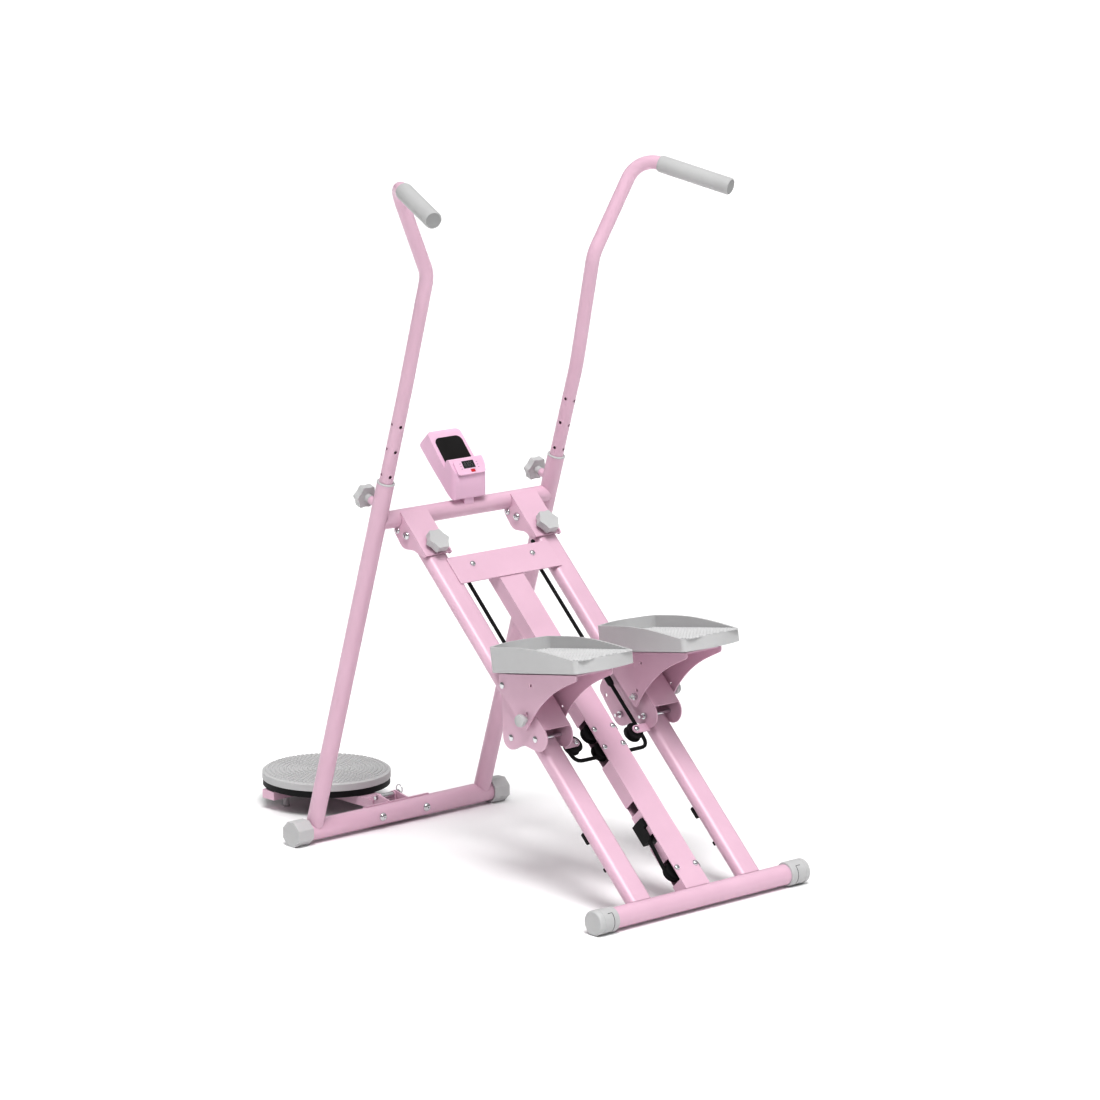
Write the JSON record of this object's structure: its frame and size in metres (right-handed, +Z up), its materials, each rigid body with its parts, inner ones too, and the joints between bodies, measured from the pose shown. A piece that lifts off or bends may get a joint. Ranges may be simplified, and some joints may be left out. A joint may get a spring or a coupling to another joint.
{
  "type": "stepper climber",
  "caption": "Folding step climber: two pedals ride sloping rails linked by a rope, with tall adjustable handles, a console and a fold-out twist disc.",
  "frame": {"origin": "on the floor under the middle of the bounding box", "axes": "+Z up, +Y from the user towards the console and disc, +X to the user's right"},
  "size_m": [0.8734, 1.3712, 1.4949],
  "materials": {
    "pink_paint": "pink powder coat, satin",
    "lilac_plastic": "moulded, satin",
    "grey_plastic": "light grey, fine grain",
    "foam_grip": "grey foam sleeve",
    "black_plastic": "black nylon",
    "black_rope": "black coated rope",
    "bright_zinc": "zinc plated",
    "red_plastic": "red button cap"
  },
  "bodies": {
    "frame": {"upright_left": "pink_paint", "upright_right": "pink_paint", "front_bar": "pink_paint", "front_cap_left": "grey_plastic", "front_cap_right": "grey_plastic", "crossbar": "pink_paint", "collar_left": "grey_plastic", "collar_right": "grey_plastic", "bracket_left": "pink_paint", "bracket_right": "pink_paint", "disc_bracket": "pink_paint", "console_case": "lilac_plastic"},
    "button": {"console_button": "red_plastic"},
    "handle_left": {"handle_left": "pink_paint", "grip_left": "foam_grip"},
    "handle_right": {"handle_right": "pink_paint", "grip_right": "foam_grip"},
    "handle_knob_left": {"handle_knob_left": "grey_plastic"},
    "handle_knob_right": {"handle_knob_right": "grey_plastic"},
    "bracket_knob_left": {"bracket_knob_left": "grey_plastic"},
    "bracket_knob_right": {"bracket_knob_right": "grey_plastic"},
    "ladder": {"rail_left": "pink_paint", "rail_right": "pink_paint", "centre_beam": "pink_paint", "top_plate": "pink_paint", "rear_bar": "pink_paint", "rear_cap_left": "grey_plastic", "rear_cap_right": "grey_plastic", "rope_top": "black_rope", "rope_beam_left": "black_rope", "rope_beam_right": "black_rope", "rope_left": "black_rope", "rope_right": "black_rope"},
    "top_pulley_left": {"top_pulley_left": "black_plastic"},
    "top_pulley_right": {"top_pulley_right": "black_plastic"},
    "beam_roller_left": {"beam_roller_left": "black_plastic"},
    "beam_roller_right": {"beam_roller_right": "black_plastic"},
    "bottom_pulley_left": {"bottom_pulley_left": "black_plastic"},
    "bottom_pulley_right": {"bottom_pulley_right": "black_plastic"},
    "tension_block": {"tension_block": "black_plastic"},
    "carriage_left": {"carriage_left": "pink_paint", "guide_rod_left": "bright_zinc"},
    "rail_roller_left": {"rail_roller_left": "bright_zinc"},
    "carriage_pulley_left": {"carriage_pulley_left": "black_plastic"},
    "pedal_left": {"pedal_support_left": "pink_paint", "pedal_left": "grey_plastic", "pedal_pivot_left": "bright_zinc"},
    "lock_pin_left": {"lock_pin_left": "grey_plastic"},
    "carriage_right": {"carriage_right": "pink_paint", "guide_rod_right": "bright_zinc"},
    "rail_roller_right": {"rail_roller_right": "bright_zinc"},
    "carriage_pulley_right": {"carriage_pulley_right": "black_plastic"},
    "pedal_right": {"pedal_support_right": "pink_paint", "pedal_right": "grey_plastic", "pedal_pivot_right": "bright_zinc"},
    "lock_pin_right": {"lock_pin_right": "grey_plastic"},
    "disc_arm": {"disc_arm": "pink_paint", "disc_base": "black_plastic"},
    "disc_top": {"disc_top": "grey_plastic"},
    "disc_pin": {"disc_pin": "bright_zinc"}
  },
  "joints": [
    {"name": "ladder_fold", "type": "hinge", "parent": "frame", "child": "ladder", "pos_m": [0, 0.0346, 0.7126], "axis": [1, 0, 0], "range_deg": [0, 58]},
    {"name": "button_press", "type": "slide", "parent": "frame", "child": "button", "axis": [0, 0.8103, -0.5861], "range_m": [0, 0.001], "stiffness_N_per_m": 200, "springref_m": -0.002},
    {"name": "handle_slide_left", "type": "slide", "parent": "frame", "child": "handle_left", "axis": [0, -0.2974, 0.9548], "range_m": [-0.15, 0.05]},
    {"name": "handle_knob_turn_left", "type": "hinge", "parent": "frame", "child": "handle_knob_left", "pos_m": [-0.245, 0.09208, 0.78901], "axis": [0, 0.9548, 0.2974], "continuous": true},
    {"name": "bracket_knob_turn_left", "type": "hinge", "parent": "frame", "child": "bracket_knob_left", "pos_m": [-0.158, -0.01354, 0.6958], "axis": [0, -0.7046, 0.7096], "continuous": true},
    {"name": "handle_slide_right", "type": "slide", "parent": "frame", "child": "handle_right", "axis": [0, -0.2974, 0.9548], "range_m": [-0.15, 0.05]},
    {"name": "handle_knob_turn_right", "type": "hinge", "parent": "frame", "child": "handle_knob_right", "pos_m": [0.245, 0.09208, 0.78901], "axis": [0, 0.9548, 0.2974], "continuous": true},
    {"name": "bracket_knob_turn_right", "type": "hinge", "parent": "frame", "child": "bracket_knob_right", "pos_m": [0.158, -0.01354, 0.6958], "axis": [0, -0.7046, 0.7096], "continuous": true},
    {"name": "carriage_slide_left", "type": "slide", "parent": "ladder", "child": "carriage_left", "axis": [0, 0.7096, 0.7046], "range_m": [-0.16, 0.16], "deforming": ["rope_left"]},
    {"name": "carriage_slide_right", "type": "slide", "parent": "ladder", "child": "carriage_right", "axis": [0, 0.7096, 0.7046], "range_m": [-0.16, 0.16], "deforming": ["rope_right"]},
    {"name": "rail_roller_turn_left", "type": "hinge", "parent": "carriage_left", "child": "rail_roller_left", "pos_m": [-0.158, -0.29518, 0.33085], "axis": [1, 0, 0], "range_deg": [-405, 405]},
    {"name": "top_pulley_turn_left", "type": "hinge", "parent": "ladder", "child": "top_pulley_left", "pos_m": [-0.086, -0.0385, 0.63578], "axis": [0, -0.7046, 0.7096], "range_deg": [-515, 515]},
    {"name": "carriage_pulley_turn_left", "type": "hinge", "parent": "carriage_left", "child": "carriage_pulley_left", "pos_m": [-0.088, -0.36774, 0.30883], "axis": [0, -0.7046, 0.7096], "continuous": true},
    {"name": "beam_roller_turn_left", "type": "hinge", "parent": "ladder", "child": "beam_roller_left", "pos_m": [-0.0265, -0.35532, 0.32116], "axis": [0, -0.7046, 0.7096], "continuous": true},
    {"name": "bottom_pulley_turn_left", "type": "hinge", "parent": "ladder", "child": "bottom_pulley_left", "pos_m": [-0.0265, -0.60616, 0.07208], "axis": [0, -0.7046, 0.7096], "continuous": true},
    {"name": "pedal_tilt_left", "type": "hinge", "parent": "carriage_left", "child": "pedal_left", "pos_m": [-0.158, -0.28242, 0.44289], "axis": [1, 0, 0], "range_deg": [-4, 7]},
    {"name": "lock_pin_turn_left", "type": "hinge", "parent": "pedal_left", "child": "lock_pin_left", "pos_m": [-0.209, -0.35476, 0.38233], "axis": [1, 0, 0], "continuous": true},
    {"name": "rail_roller_turn_right", "type": "hinge", "parent": "carriage_right", "child": "rail_roller_right", "pos_m": [0.158, -0.29518, 0.33085], "axis": [1, 0, 0], "range_deg": [-405, 405]},
    {"name": "top_pulley_turn_right", "type": "hinge", "parent": "ladder", "child": "top_pulley_right", "pos_m": [0.086, -0.0385, 0.63578], "axis": [0, -0.7046, 0.7096], "range_deg": [-515, 515]},
    {"name": "carriage_pulley_turn_right", "type": "hinge", "parent": "carriage_right", "child": "carriage_pulley_right", "pos_m": [0.088, -0.36774, 0.30883], "axis": [0, -0.7046, 0.7096], "continuous": true},
    {"name": "beam_roller_turn_right", "type": "hinge", "parent": "ladder", "child": "beam_roller_right", "pos_m": [0.0265, -0.35532, 0.32116], "axis": [0, -0.7046, 0.7096], "continuous": true},
    {"name": "bottom_pulley_turn_right", "type": "hinge", "parent": "ladder", "child": "bottom_pulley_right", "pos_m": [0.0265, -0.60616, 0.07208], "axis": [0, -0.7046, 0.7096], "continuous": true},
    {"name": "pedal_tilt_right", "type": "hinge", "parent": "carriage_right", "child": "pedal_right", "pos_m": [0.158, -0.28242, 0.44289], "axis": [1, 0, 0], "range_deg": [-4, 7]},
    {"name": "lock_pin_turn_right", "type": "hinge", "parent": "pedal_right", "child": "lock_pin_right", "pos_m": [0.209, -0.35476, 0.38233], "axis": [1, 0, 0], "continuous": true},
    {"name": "block_lift", "type": "slide", "parent": "ladder", "child": "tension_block", "axis": [0, 0.7046, -0.7096], "range_m": [0, 0.032], "deforming": ["rope_beam_left", "rope_beam_right"]},
    {"name": "disc_fold", "type": "hinge", "parent": "frame", "child": "disc_arm", "pos_m": [0, 0.33465, 0.054], "axis": [1, 0, 0], "range_deg": [0, 90]},
    {"name": "disc_spin", "type": "hinge", "parent": "disc_arm", "child": "disc_top", "pos_m": [0, 0.54065, 0.061], "axis": [0, 0, 1], "continuous": true},
    {"name": "disc_pin_pull", "type": "slide", "parent": "frame", "child": "disc_pin", "axis": [1, 0, 0], "range_m": [0, 0.06]}
  ],
  "couplings": [
    {"joint": "carriage_slide_right", "follows": "carriage_slide_left", "ratio": -1},
    {"joint": "rail_roller_turn_left", "follows": "carriage_slide_left", "rad_per_m": 43.29},
    {"joint": "top_pulley_turn_left", "follows": "carriage_slide_left", "rad_per_m": -55.556},
    {"joint": "rail_roller_turn_right", "follows": "carriage_slide_left", "rad_per_m": -43.29},
    {"joint": "top_pulley_turn_right", "follows": "carriage_slide_left", "rad_per_m": -55.556}
  ]
}
